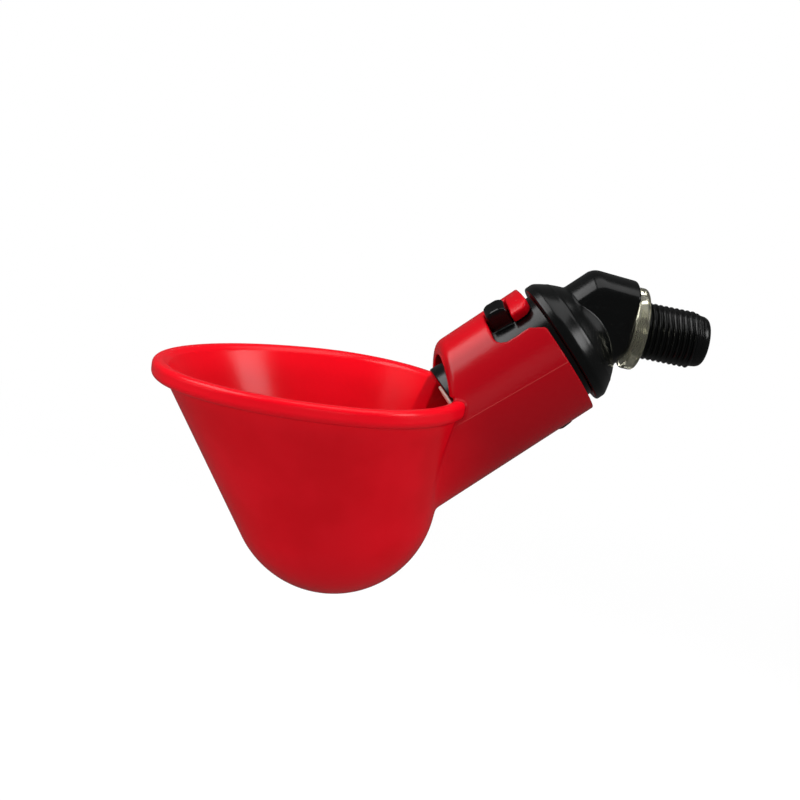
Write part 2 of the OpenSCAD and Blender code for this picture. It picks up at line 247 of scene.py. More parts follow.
def cup_moulding(x, y, z):
    """Distance to the whole cup, in millimetres in the row frame."""
    rx, ry, rz = seen_from(x, y, z, RIM_CENTRE, RIM_X, RIM_Z)
    u, v, t = seen_from(x, y, z, ELBOW, NECK_TOP, NECK_DOWN)
    bowl = common(bowl_wall(rx, ry, rz, RIM_STEP, BOTTOM_R), rz + 0.4, 0.3)
    bowl = joined(bowl, rim_bead(rx, ry, rz), 0.5)
    lean = (NECK_FRONT - rx) * math.cos(FRONT_LEAN) + (FRONT_TOP - rz) * math.sin(FRONT_LEAN)
    neck = common(neck_sleeve(u, v, t), joined(lean, rz, 0.5), 0.9)
    cup = joined(bowl, neck, 0.35)
    inside = bowl_wall(rx, ry, rz, RIM_STEP + WALL, BOTTOM_R - WALL)
    cup = without(cup, np.maximum(inside, rz - 0.02), 0.35)
    bore = np.maximum(np.hypot(u, v) - BORE_D / 2, t - BORE_END)
    cup = without(cup, bore, 0.2)
    slots = np.minimum(slot(u, v, t, 0.0), slot(u, v, t, 180.0))
    return without(cup, np.maximum(slots, 6 - np.hypot(u, v)), 0.3)


# %% [markdown]
# ## A skin over a distance
#
# To turn a distance into a mesh, space is filled with small cells. Each cell
# that the surface crosses gets one point, and neighbouring points make
# four-sided faces. The points are then pulled on to the exact surface and
# evened out along it, a few times, so that reflections run smoothly. The
# direction in which the distance grows gives every point its true normal.

# %% The skin builder
CORNERS = np.array([(i, j, k) for i in (0, 1) for j in (0, 1) for k in (0, 1)])
CELL_EDGES = [(a, b) for a in range(8) for b in range(a + 1, 8)
              if np.abs(CORNERS[a] - CORNERS[b]).sum() == 1]


def slope(distance, points, reach=0.02):
    """Value and gradient of a distance at points."""
    grown = np.empty_like(points)
    for axis in range(3):
        ahead, behind = points.copy(), points.copy()
        ahead[:, axis] += reach
        behind[:, axis] -= reach
        grown[:, axis] = (distance(*ahead.T) - distance(*behind.T)) / (2 * reach)
    return distance(*points.T), grown


def pulled(distance, points, rounds):
    """Points moved on to the surface of a distance."""
    for _ in range(rounds):
        value, grown = slope(distance, points)
        length = np.maximum((grown ** 2).sum(1), 0.05)
        points = points - grown * np.clip(value / length, -0.3, 0.3)[:, None]
    return points


def skin(distance, low, high, cell, rounds=4):
    """Points, quads and normals of the surface where a distance is zero."""
    count = np.ceil((np.array(high) - low) / cell).astype(int) + 1
    axes = [low[a] + cell * np.arange(count[a]) for a in range(3)]
    value = np.empty(count, np.float32)
    for i in range(0, count[0], 16):
        block = axes[0][i:i + 16, None, None]
        value[i:i + 16] = distance(block, axes[1][None, :, None], axes[2][None, None, :])
    solid = value < 0
    total = sum(solid[c[0]:count[0] - 1 + c[0], c[1]:count[1] - 1 + c[1], c[2]:count[2] - 1 + c[2]]
                .astype(np.uint8) for c in CORNERS)
    cells = np.argwhere((total > 0) & (total < 8))
    number = np.full(count, -1, np.int64)
    number[tuple(cells.T)] = np.arange(len(cells))
    at_corner = np.stack([value[tuple((cells + c).T)] for c in CORNERS], 1)
    place, hits = np.zeros((len(cells), 3)), np.zeros(len(cells))
    for a, b in CELL_EDGES:
        va, vb = at_corner[:, a], at_corner[:, b]
        crossed = (va < 0) != (vb < 0)
        share = np.where(crossed, va / np.where(crossed, va - vb, 1), 0)
        place += crossed[:, None] * (CORNERS[a] + share[:, None] * (CORNERS[b] - CORNERS[a]))
        hits += crossed
    points = np.array(low) + cell * (cells + place / hits[:, None])
    quads = []
    for axis in range(3):
        one, two = np.eye(3, dtype=int)[(axis + 1) % 3], np.eye(3, dtype=int)[(axis + 2) % 3]
        ahead = np.roll(solid, -1, axis)
        crossing = solid != ahead
        crossing[tuple(slice(-1, None) if a == axis else slice(None) for a in range(3))] = False
        spots = np.argwhere(crossing)
        ring = np.stack([number[tuple((spots - o).T)] for o in (0 * one, one, one + two, two)], 1)
        leaving = solid[tuple(spots.T)]
        quads.append(np.where(leaving[:, None], ring, ring[:, ::-1]))
    quads = np.concatenate(quads)
    points = pulled(distance, points, 3)
    pairs = np.concatenate([quads[:, [0, 1]], quads[:, [1, 2]], quads[:, [2, 3]], quads[:, [3, 0]]])
    degree = np.maximum(np.bincount(pairs.ravel(), minlength=len(points)), 1)
    for _ in range(rounds):
        mean = np.empty_like(points)
        for a in range(3):
            mean[:, a] = (np.bincount(pairs[:, 0], points[pairs[:, 1], a], len(points))
                          + np.bincount(pairs[:, 1], points[pairs[:, 0], a], len(points))) / degree
        points = pulled(distance, points + 0.6 * (mean - points), 1)
    points = pulled(distance, points, 2)
    normals = slope(distance, points)[1]
    normals /= np.maximum(np.linalg.norm(normals, axis=1), 1e-6)[:, None]
    return points, quads, normals


def mesh_piece(name, points, faces, finish, normals=None):
    """A smooth object at the origin, from points in millimetres."""
    mesh = bpy.data.meshes.new(name)
    mesh.from_pydata((np.asarray(points) * MM).tolist(), [], [list(f) for f in faces])
    mesh.validate()
    mesh.shade_smooth()
    if normals is not None:
        mesh.normals_split_custom_set_from_vertices(normals.tolist())
    mesh.materials.append(finish)
    piece = bpy.data.objects.new(name, mesh)
    scene.collection.objects.link(piece)
    print(name, "has", len(mesh.vertices), "points and", len(mesh.polygons), "faces")
    return piece


# %% [markdown]
# ## The valve's moulding
#
# The black body is one moulding too: a barrel with a flange and a domed
# back, an elbow block made of two round limbs with spanner flats on both
# sides, two lugs, and the spigot that carries the thread. It follows the
# same rules as the cup, with smaller radii, because the real piece has
# crisper edges. Thin light lines along those edges are what makes a black
# moulding readable.

# %% Valve body
WASHER_T, WASHER_D, THREAD_D, WASHER_GAP = 1.8, 11.9, 8.2, 0.15
SPIGOT_LEN, TIP_LEN, TIP_D, TIP_STEP, WATER_D, RELIEF_D = 10.0, 1.6, 6.6, 0.35, 4.4, 7.6
LIMB_D, FLAT_W, LIMB_MEET, LIMB_TILT = 13.1, 9.1, 0.65, math.radians(4)
FLANGE_D, FLANGE_AT, FLANGE_T, DOME_H, DOME_BULGE = 18.9, 6.2, 1.35, 4.95, 0.45
BARREL_D, NOSE_D, BARREL_END, NOSE_LEN = 16.4, 14.4, 23.9, 2.6
CHAMBER_AT, CHAMBER_D = 7.6, 9.0
THREAD_ROOT = 3.74


def elbow_block(x, y, z, u, v, t):
    """Two mitred round limbs between spanner flats."""
    meet = ELBOW - NECK_DOWN * LIMB_MEET
    dx, dz = x - meet[0], z - meet[2]
    half = (elbow - LIMB_TILT) / 2
    behind = dx * math.cos(half) + dz * math.sin(half)
    rise = dx * math.sin(LIMB_TILT) + dz * math.cos(LIMB_TILT)
    inlet_limb = np.maximum(np.hypot(y, rise) - LIMB_D / 2, -LIMB_D / 2 - dx)
    neck_limb = np.maximum(np.hypot(u, v) - LIMB_D / 2, t - (FLANGE_AT - FLANGE_T))
    limbs = common(neck_limb, np.minimum(behind, inlet_limb), 0.8)
    limbs = common(limbs, x + WASHER_T, 0.3)
    return common(limbs, np.abs(y) - FLAT_W / 2, 0.5)


def barrel_solid(u, v, t):
    """Dome, flange, barrel and nose, turned about the neck's axis."""
    r = np.hypot(u, v)
    back = FLANGE_AT - FLANGE_T
    run = (FLANGE_D - FLAT_W) / 2
    slant = math.hypot(run, DOME_H)
    dr, dt = r - FLAT_W / 2, t - back + DOME_H
    share = np.clip((dr * run + dt * DOME_H) / slant ** 2, 0, 1)
    dome = (dr * DOME_H - dt * run) / slant - DOME_BULGE * 4 * share * (1 - share)
    disc = common(dome, r - FLANGE_D / 2, 0.18)
    disc = common(disc, t - FLANGE_AT, 0.4)
    step = BARREL_D / 2 - np.clip(t - BARREL_END + NOSE_LEN + 1, 0, 1) * (BARREL_D - NOSE_D) / 2
    tube = common(r - step, np.maximum(t - BARREL_END, 3 - t), 0.3)
    return joined(disc, tube, 0.25)


def lug(u, v, t, turn_deg):
    """One bayonet lug: slanted sides and a crowned top."""
    a = math.radians(turn_deg)
    out, side = u * math.cos(a) - v * math.sin(a), u * math.sin(a) + v * math.cos(a)
    mid = t - LUG_AT - LUG_LEN / 2
    across = side * math.cos(LUG_SLANT) - mid * math.sin(LUG_SLANT)
    along = side * math.sin(LUG_SLANT) + mid * math.cos(LUG_SLANT)
    block = rounded_box(across, along, LUG_W / 2, LUG_LEN / 2, 0.35)
    top = SLEEVE_D / 2 + LUG_PROUD
    crown = np.maximum(np.hypot(out - top + LUG_CROWN, along) - LUG_CROWN, np.hypot(u, v) - top)
    return np.maximum(common(block, crown, 0.35), BARREL_D / 2 - 1 - out)


def spigot(x, y, z):
    """Core of the inlet under its thread, relief groove and domed tip."""
    r = np.hypot(y, z)
    start, end = SPIGOT_LEN - TIP_LEN, SPIGOT_LEN
    core = np.maximum(r - THREAD_ROOT, np.maximum(x - start - 0.3, -WASHER_T - 1 - x))
    relief = np.maximum(r - RELIEF_D / 2, np.maximum(x - 0.25, -WASHER_T - 1 - x))
    share = np.clip((x - start) / TIP_LEN, 0, 1)
    bevel = THREAD_D / 2 - TIP_STEP - (THREAD_D / 2 - TIP_STEP - TIP_D / 2) * share ** 2.0
    tip = common((r - bevel) * 0.93, np.maximum(x - end, start - x), 0.7)
    return np.minimum(np.minimum(core, relief), tip)


def valve_moulding(x, y, z):
    """Distance to the whole valve body without its thread."""
    u, v, t = seen_from(x, y, z, ELBOW, NECK_TOP, NECK_DOWN)
    r = np.hypot(u, v)
    body = joined(elbow_block(x, y, z, u, v, t), barrel_solid(u, v, t), 0.22)
    body = joined(body, np.minimum(lug(u, v, t, LUG_DEG), lug(u, v, t, LUG_DEG + 180)), 0.25)
    body = joined(body, spigot(x, y, z), 0.15)
    inlet = np.maximum(np.hypot(y, z) - WATER_D / 2, ELBOW[0] - x)
    way = np.maximum(r - WATER_D / 2, np.maximum(-WATER_D / 4 - t, t - CHAMBER_AT - 1))
    chamber = np.maximum(r - CHAMBER_D / 2, CHAMBER_AT - t)
    return without(body, np.minimum(np.minimum(inlet, way), chamber), 0.25)


# %% [markdown]
# ## Finishes
#
# Every finish is built from nodes on Object coordinates, so it stays in
# place when a piece moves and needs no picture. The red is a glossy moulded
# plastic with a faint orange peel. The black is the same kind of plastic
# with a finer satin grain. Roughness carries most of the likeness: it says
# how wide and how soft each reflection is.

# %% Finish helpers
def new_finish(name):
    """An empty node finish: its tree, its shader and its object coordinates."""
    finish = bpy.data.materials.new(name)
    finish.use_nodes = True
    nodes = finish.node_tree.nodes
    return finish, finish.node_tree, nodes["Principled BSDF"], nodes.new("ShaderNodeTexCoord").outputs["Object"]


def noise(tree, place, size_mm, detail, roughness=0.5):
    """Noise whose lumps are about this size."""
    node = tree.nodes.new("ShaderNodeTexNoise")
    node.inputs["Scale"].default_value = 1000 / size_mm
    node.inputs["Detail"].default_value = detail
    node.inputs["Roughness"].default_value = roughness
    tree.links.new(place, node.inputs["Vector"])
    return node.outputs["Fac"]


def between(tree, value, low, high, from_low=0.0, from_high=1.0):
    """A value moved from one range to another."""
    node = tree.nodes.new("ShaderNodeMapRange")
    node.interpolation_type = "SMOOTHSTEP"
    node.inputs["From Min"].default_value = from_low
    node.inputs["From Max"].default_value = from_high
    node.inputs["To Min"].default_value = low
    node.inputs["To Max"].default_value = high
    tree.links.new(value, node.inputs["Value"])
    return node.outputs["Result"]


def blend_colours(tree, share, first, second):
    """A colour between two, each given as numbers or as a socket."""
    node = tree.nodes.new("ShaderNodeMix")
    node.data_type = "RGBA"
    tree.links.new(share, node.inputs["Factor"])
    for socket, colour in ((node.inputs[6], first), (node.inputs[7], second)):
        if isinstance(colour, bpy.types.NodeSocket):
            tree.links.new(colour, socket)
        else:
            socket.default_value = (*colour, 1)
    return node.outputs[2]


def bumped(tree, shader, height, depth_mm):
    """Gives a shader a relief of this depth."""
    node = tree.nodes.new("ShaderNodeBump")
    node.inputs["Strength"].default_value = 1.0
    node.inputs["Distance"].default_value = depth_mm * MM
    tree.links.new(height, node.inputs["Height"])
    tree.links.new(node.outputs["Normal"], shader.inputs["Normal"])


def sum_of(tree, first, second, kind="ADD"):
    """Two values, or a value and a number, put together by a sum or another rule."""
    node = tree.nodes.new("ShaderNodeMath")
    node.operation = kind
    for socket, value in zip(node.inputs, (first, second)):
        if isinstance(value, bpy.types.NodeSocket):
            tree.links.new(value, socket)
        else:
            socket.default_value = value
    return node.outputs[0]


# %% Where the cup gets painted shade, painted light and its seam
def position_along(tree, place, axis, origin):
    """How far a point lies along an axis from an origin given in millimetres."""
    node = tree.nodes.new("ShaderNodeVectorMath")
    node.operation = "DOT_PRODUCT"
    node.inputs[1].default_value = tuple(axis)
    tree.links.new(place, node.inputs[0])
    return sum_of(tree, node.outputs["Value"], -float(np.dot(origin, axis)) * MM)


def shade_light_and_seam_zones(tree, place):
    """Shares of painted shade on the neck over the barrel, of painted light on the rim, and of the mould's
    seam.
    """
    along = position_along(tree, place, NECK_DOWN, ELBOW)
    above_axis = position_along(tree, place, NECK_TOP, ELBOW)
    height = position_along(tree, place, RIM_Z, RIM_CENTRE)
    side = position_along(tree, place, SIDE, ELBOW)
    radius = sum_of(tree, sum_of(tree, side, side, "MULTIPLY"),
                    sum_of(tree, above_axis, above_axis, "MULTIPLY"))
    on_neck = between(tree, sum_of(tree, radius, 0.5, "POWER"), 1.0, 0.0, 10.5 * MM, 11.3 * MM)
    # Painted shade: the neck's red is darkened along the barrel and fades out towards the bowl, while its upper
    # side (crown) keeps a lighter red, as if lit from above.
    shade_over_barrel = between(tree, along, 1.0, 0.0, 20 * MM, 37 * MM)
    crown = between(tree, above_axis, 1.0, 0.4, 7.6 * MM, 9.2 * MM)
    neck = sum_of(tree, sum_of(tree, shade_over_barrel, on_neck, "MULTIPLY"), crown, "MULTIPLY")
    # Painted light: a band at the top of the rim gets a brighter red, standing in for the light the bead
    # catches from above; it stops at the neck.
    rim = between(tree, height, 0.0, 1.0, -5 * MM, -1 * MM)
    rim = sum_of(tree, rim, between(tree, height, 1.0, 0.0, 0.3 * MM, 1.5 * MM), "MULTIPLY")
    rim = sum_of(tree, rim, sum_of(tree, 1.0, on_neck, "SUBTRACT"), "MULTIPLY")
    seam_axis = NECK_TOP - SEAM_SLOPE * NECK_DOWN
    from_seam = position_along(tree, place, seam_axis, ELBOW + NECK_DOWN * SEAM_AT)
    from_seam = sum_of(tree, from_seam, 0.0, "ABSOLUTE")
    seam = between(tree, from_seam, 1.0, 0.0, 0.02 * MM, 0.12 * MM)
    seam = sum_of(tree, seam, between(tree, along, 1.0, 0.0, 22 * MM, 27 * MM), "MULTIPLY")
    return neck, rim, sum_of(tree, seam, on_neck, "MULTIPLY")


# %% Red moulding
SEAM_SLOPE, SEAM_AT = 0.0575, 8.2


def red_moulding():
    finish, tree, shader, place = new_finish("red_moulding")
    cloud = noise(tree, place, 9.0, 2.0)
    peel = noise(tree, place, 0.9, 1.0)
    dust = noise(tree, place, 0.22, 1.0)
    # neck is a share of painted shade, rim a share of painted light, and seam the mould's seam.
    neck, rim, seam = shade_light_and_seam_zones(tree, place)
    tone = blend_colours(tree, between(tree, cloud, 0.0, 1.0, 0.35, 0.65),
                         (0.70, 0.0004, 0.0075), (0.76, 0.0006, 0.0095))
    # Painted shade: a darker red on the neck over the barrel.
    tone = blend_colours(tree, neck, tone, (0.36, 0.0009, 0.0060))
    # Painted light: a brighter red on the rim band.
    tone = blend_colours(tree, rim, tone, (0.87, 0.0010, 0.0110))
    tone = blend_colours(tree, sum_of(tree, seam, 0.22, "MULTIPLY"), tone, (0.75, 0.10, 0.09))
    tree.links.new(tone, shader.inputs["Base Color"])
    tree.links.new(between(tree, cloud, 0.21, 0.25, 0.3, 0.7), shader.inputs["Roughness"])
    shader.inputs["IOR"].default_value = 1.45
    shader.inputs["Specular IOR Level"].default_value = 0.4
    relief = sum_of(tree, peel, sum_of(tree, dust, 0.15, "MULTIPLY"))
    bumped(tree, shader, sum_of(tree, relief, sum_of(tree, seam, 2.0, "MULTIPLY")), 0.012)
    return finish


# %% Black moulding
def black_moulding():
    finish, tree, shader, place = new_finish("black_moulding")
    cloud = noise(tree, place, 4.0, 3.0)
    grain = noise(tree, place, 0.14, 2.0)
    scuff = noise(tree, place, 1.6, 6.0, 0.75)
    tone = blend_colours(tree, between(tree, scuff, 0.0, 1.0, 0.55, 0.75),
                         (0.0012, 0.0015, 0.0015), (0.0045, 0.0052, 0.0050))
    tree.links.new(tone, shader.inputs["Base Color"])
    tree.links.new(between(tree, cloud, 0.19, 0.26, 0.3, 0.7), shader.inputs["Roughness"])
    shader.inputs["IOR"].default_value = 1.5
    bumped(tree, shader, grain, 0.0025)
    return finish


# %% Washer, bush, rubber and steel
def clear_washer():
    finish, tree, shader, place = new_finish("clear_washer")
    cloud = noise(tree, place, 2.5, 2.0)
    tone = blend_colours(tree, cloud, (0.84, 0.82, 0.62), (0.90, 0.88, 0.72))
    tree.links.new(tone, shader.inputs["Base Color"])
    tree.links.new(between(tree, cloud, 0.08, 0.14), shader.inputs["Roughness"])
    shader.inputs["Transmission Weight"].default_value = 0.94
    shader.inputs["IOR"].default_value = 1.43
    bumped(tree, shader, noise(tree, place, 1.6, 0.0), 0.008)
    return finish


def pale_bush():
    finish, tree, shader, place = new_finish("pale_bush")
    cloud = noise(tree, place, 1.5, 3.0)
    tone = blend_colours(tree, cloud, (0.60, 0.57, 0.48), (0.74, 0.72, 0.64))
    tree.links.new(tone, shader.inputs["Base Color"])
    tree.links.new(between(tree, cloud, 0.38, 0.5), shader.inputs["Roughness"])
    bumped(tree, shader, noise(tree, place, 0.12, 1.0), 0.004)
    return finish


def seal_rubber():
    finish, tree, shader, place = new_finish("seal_rubber")
    cloud = noise(tree, place, 0.8, 4.0)
    tone = blend_colours(tree, cloud, (0.018, 0.018, 0.018), (0.035, 0.034, 0.033))
    tree.links.new(tone, shader.inputs["Base Color"])
    tree.links.new(between(tree, cloud, 0.6, 0.8), shader.inputs["Roughness"])
    bumped(tree, shader, noise(tree, place, 0.1, 2.0), 0.006)
    return finish


def drawn_steel(name, grain_mm, roughness):
    finish, tree, shader, place = new_finish(name)
    grain = noise(tree, place, grain_mm, 3.0)
    tone = blend_colours(tree, grain, (0.50, 0.50, 0.49), (0.66, 0.655, 0.64))
    tree.links.new(tone, shader.inputs["Base Color"])
    tree.links.new(between(tree, grain, roughness - 0.06, roughness + 0.08), shader.inputs["Roughness"])
    shader.inputs["Metallic"].default_value = 1.0
    bumped(tree, shader, grain, 0.003)
    return finish


RED = red_moulding()
BLACK = black_moulding()
WASHER = clear_washer()
BUSH = pale_bush()
RUBBER = seal_rubber()
STEM_STEEL = drawn_steel("stem_steel", 0.25, 0.2)
SPRING_STEEL = drawn_steel("spring_steel", 0.12, 0.2)
print("finishes:", [m.name for m in (RED, BLACK, WASHER, BUSH, RUBBER, STEM_STEEL, SPRING_STEEL)])

# %% [markdown]
# ## Skinning the two mouldings
#
# The cell size sets how fine the mesh is. The cup gets cells of a third of a
# millimetre, the valve body finer ones, because its edges are smaller. Both
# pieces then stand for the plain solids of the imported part.

# %% Cup and valve body pieces
CUP_CELL, VALVE_CELL = 0.32, 0.2


def node_box(node, spare):
    """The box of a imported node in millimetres, with room around it."""
    low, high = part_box(node)
    return np.array(low) * 1000 - spare, np.array(high) * 1000 + spare


low, high = node_box("cup", 1.0)
points, quads, normals = skin(cup_moulding, low, high, CUP_CELL)
cup = mesh_piece("cup_moulding", points, quads, RED, normals)
print("cup box in mm:", points.min(0).round(2), points.max(0).round(2))

low, high = node_box("valve_body", 1.0)
points, quads, normals = skin(valve_moulding, low, high, VALVE_CELL)
valve = mesh_piece("valve_moulding", points, quads, BLACK, normals)
print("valve box in mm:", points.min(0).round(2), points.max(0).round(2))

# %% [markdown]
# ## The inlet's thread
#
# A fine thread is one ridge that climbs round the spigot. Its height follows
# a rule in two numbers, the length along the axis and the angle around it,
# so Geometry Nodes can lay a flat grid around the spigot and raise every
# point by that rule. Three more rows bring the skin back inside, which makes
# it a closed tube.

# %% Node tree helpers
def new_tree(name, sizes):
    """A Geometry Nodes tree with named inputs, its group output and a shorthand."""
    tree = bpy.data.node_groups.new(name, "GeometryNodeTree")
    face = tree.interface
    face.new_socket("Geometry", in_out="INPUT", socket_type="NodeSocketGeometry")
    face.new_socket("Geometry", in_out="OUTPUT", socket_type="NodeSocketGeometry")
    for label, (kind, value) in sizes.items():
        socket = face.new_socket(label, in_out="INPUT", socket_type=kind)
        if value is not None:
            socket.default_value = value
    return tree, tree.nodes.new("NodeGroupInput"), tree.nodes.new("NodeGroupOutput")


def maths(tree, kind, *values):
    """One Math node on sockets or numbers."""
    node = tree.nodes.new("ShaderNodeMath")
    node.operation = kind
    for socket, value in zip(node.inputs, values):
        if isinstance(value, bpy.types.NodeSocket):
            tree.links.new(value, socket)
        else:
            socket.default_value = value
    return node.outputs[0]


def baked(tree, sizes, name, finish):
    """Runs a tree on an empty object and keeps the result as a plain mesh."""
    holder = bpy.data.objects.new(name + "_maker", bpy.data.meshes.new(name + "_maker"))
    scene.collection.objects.link(holder)
    modifier = holder.modifiers.new("maker", "NODES")
    modifier.node_group = tree
    for item in tree.interface.items_tree:
        if item.in_out == "INPUT" and item.name in sizes:
            modifier[item.identifier] = sizes[item.name]
    graph = bpy.context.evaluated_depsgraph_get()
    mesh = bpy.data.meshes.new_from_object(holder.evaluated_get(graph))
    holder.modifiers.remove(modifier)
    bpy.data.objects.remove(holder)
    mesh.name = name
    mesh.materials.clear()
    mesh.materials.append(finish)
    piece = bpy.data.objects.new(name, mesh)
    scene.collection.objects.link(piece)
    print(name, "has", len(mesh.vertices), "points and", len(mesh.polygons), "faces")
    return piece


# %% Thread tree
AROUND, ROWS = 96, 150


def thread_tree():
    sizes = {"Start": ("NodeSocketFloat", 0.0), "Length": ("NodeSocketFloat", 0.0084),
             "Root": ("NodeSocketFloat", 0.0037), "Height": ("NodeSocketFloat", 0.0004),
             "Pitch": ("NodeSocketFloat", 0.00078), "Fade": ("NodeSocketFloat", 0.0008),
             "Inner": ("NodeSocketFloat", 0.003), "Finish": ("NodeSocketMaterial", None)}
    tree, given, made = new_tree("inlet_thread", sizes)
    link = tree.links.new
    grid = tree.nodes.new("GeometryNodeMeshGrid")
    grid.inputs["Vertices X"].default_value = ROWS + 4
    grid.inputs["Vertices Y"].default_value = AROUND + 1
    index = tree.nodes.new("GeometryNodeInputIndex").outputs[0]
    row = maths(tree, "FLOOR", maths(tree, "DIVIDE", index, AROUND + 1))
    turn = maths(tree, "DIVIDE", maths(tree, "MODULO", index, AROUND + 1), AROUND)
    outer = maths(tree, "LESS_THAN", row, ROWS + 0.5)
    climb = maths(tree, "DIVIDE", maths(tree, "MINIMUM", row, ROWS), ROWS)
    first_back = maths(tree, "LESS_THAN", row, ROWS + 1.5)
    share = maths(tree, "MULTIPLY", climb, maths(tree, "MAXIMUM", outer, first_back))
    along = maths(tree, "MULTIPLY", share, given.outputs["Length"])
    phase = maths(tree, "SUBTRACT", maths(tree, "DIVIDE", along, given.outputs["Pitch"]), turn)
    swing = maths(tree, "COSINE", maths(tree, "MULTIPLY", phase, 2 * math.pi))
    ridge = maths(tree, "POWER", maths(tree, "MULTIPLY_ADD", swing, 0.5, 0.5), 0.8)
    left = maths(tree, "SUBTRACT", given.outputs["Length"], along)
    ends = maths(tree, "DIVIDE", maths(tree, "MINIMUM", along, left), given.outputs["Fade"])
    ends = maths(tree, "MINIMUM", ends, 1.0)
    rise = maths(tree, "MULTIPLY", maths(tree, "MULTIPLY", ridge, ends), given.outputs["Height"])
    thread_r = maths(tree, "ADD", given.outputs["Root"], rise)
    closing = maths(tree, "GREATER_THAN", row, ROWS + 2.5)
    on_thread = maths(tree, "MAXIMUM", outer, closing)
    bare = maths(tree, "SUBTRACT", thread_r, given.outputs["Inner"])
    radius = maths(tree, "MULTIPLY_ADD", bare, on_thread, given.outputs["Inner"])
    angle = maths(tree, "MULTIPLY", turn, 2 * math.pi)
    spot = tree.nodes.new("ShaderNodeCombineXYZ")
    link(maths(tree, "ADD", along, given.outputs["Start"]), spot.inputs["X"])
    link(maths(tree, "MULTIPLY", radius, maths(tree, "COSINE", angle)), spot.inputs["Y"])
    link(maths(tree, "MULTIPLY", radius, maths(tree, "SINE", angle)), spot.inputs["Z"])
    place = tree.nodes.new("GeometryNodeSetPosition")
    link(grid.outputs["Mesh"], place.inputs["Geometry"])
    link(spot.outputs[0], place.inputs["Position"])
    weld = tree.nodes.new("GeometryNodeMergeByDistance")
    weld.inputs["Distance"].default_value = 1e-6
    link(place.outputs[0], weld.inputs["Geometry"])
    smooth = tree.nodes.new("GeometryNodeSetShadeSmooth")
    link(weld.outputs[0], smooth.inputs["Geometry"])
    real = tree.nodes.new("GeometryNodeRealizeInstances")
    link(smooth.outputs[0], real.inputs[0])
    paint = tree.nodes.new("GeometryNodeSetMaterial")
    link(real.outputs[0], paint.inputs["Geometry"])
    link(given.outputs["Finish"], paint.inputs["Material"])
    link(paint.outputs[0], made.inputs["Geometry"])
    return tree


thread = baked(thread_tree(),
               {"Start": 0.0, "Length": (SPIGOT_LEN - TIP_LEN) * MM, "Root": THREAD_ROOT * MM,
                "Height": (THREAD_D / 2 - THREAD_ROOT) * MM, "Pitch": 0.8 * MM, "Fade": 0.5 * MM,
                "Inner": 3.0 * MM, "Finish": BLACK}, "inlet_thread", BLACK)

# %% [markdown]
# ## The return spring
#
# A coil spring is a spiral swept with a round wire. The spiral comes from a
# curve node, its points are lifted by a rule that lays the end turns flat,
# and Curve to Mesh gives the wire its thickness. The spring sits unseen in
# the chamber, between its shoulder and the valve head.

# %% Spring tree
BUSH_D, BUSH_LEN, BUSH_HOLE, BUSH_PROUD = 8.9, 5.4, 3.2, 0.3
SEAL_T, SEAL_HOLE = 1.6, 3.8
PIN_D, PIN_PROUD, HEAD_D, HEAD_T, BOSS_D, BOSS_H = 2.0, 6.6, 6.8, 1.4, 4.4, 1.0
WIRE_D, SPRING_D, SPRING_TURNS = 0.5, 6.2, 6.0
BUSH_END = BARREL_END + BUSH_PROUD
BUSH_AT = BUSH_END - BUSH_LEN
SEAL_AT = BUSH_AT - SEAL_T
HEAD_AT = SEAL_AT - HEAD_T
SPRING_AT, SPRING_LEN = CHAMBER_AT + 0.02, HEAD_AT - CHAMBER_AT - 0.04


def spring_tree():
    sizes = {"Radius": ("NodeSocketFloat", 0.003), "Height": ("NodeSocketFloat", 0.008),
             "Turns": ("NodeSocketFloat", 6.0), "Wire": ("NodeSocketFloat", 0.00025),
             "Finish": ("NodeSocketMaterial", None)}
    tree, given, made = new_tree("return_spring", sizes)
    link = tree.links.new
    coil = tree.nodes.new("GeometryNodeCurveSpiral")
    coil.inputs["Resolution"].default_value = 40
    coil.inputs["Height"].default_value = 0.0
    link(given.outputs["Turns"], coil.inputs["Rotations"])
    link(given.outputs["Radius"], coil.inputs["Start Radius"])
    link(given.outputs["Radius"], coil.inputs["End Radius"])
    share = tree.nodes.new("GeometryNodeSplineParameter").outputs["Factor"]
    wound = tree.nodes.new("ShaderNodeMapRange")
    wound.inputs["From Min"].default_value = 0.09
    wound.inputs["From Max"].default_value = 0.91
    link(share, wound.inputs["Value"])
    rise = maths(tree, "MULTIPLY", wound.outputs["Result"], given.outputs["Height"])
    lift = tree.nodes.new("ShaderNodeCombineXYZ")
    link(rise, lift.inputs["Z"])
    place = tree.nodes.new("GeometryNodeSetPosition")
    link(coil.outputs["Curve"], place.inputs["Geometry"])
    link(lift.outputs[0], place.inputs["Offset"])
    ring = tree.nodes.new("GeometryNodeCurvePrimitiveCircle")
    ring.inputs["Resolution"].default_value = 12
    link(given.outputs["Wire"], ring.inputs["Radius"])
    sweep = tree.nodes.new("GeometryNodeCurveToMesh")
    sweep.inputs["Fill Caps"].default_value = True
    link(place.outputs[0], sweep.inputs["Curve"])
    link(ring.outputs["Curve"], sweep.inputs["Profile Curve"])
    smooth = tree.nodes.new("GeometryNodeSetShadeSmooth")
    link(sweep.outputs[0], smooth.inputs["Geometry"])
    real = tree.nodes.new("GeometryNodeRealizeInstances")
    link(smooth.outputs[0], real.inputs[0])
    paint = tree.nodes.new("GeometryNodeSetMaterial")
    link(real.outputs[0], paint.inputs["Geometry"])
    link(given.outputs["Finish"], paint.inputs["Material"])
    link(paint.outputs[0], made.inputs["Geometry"])
    return tree


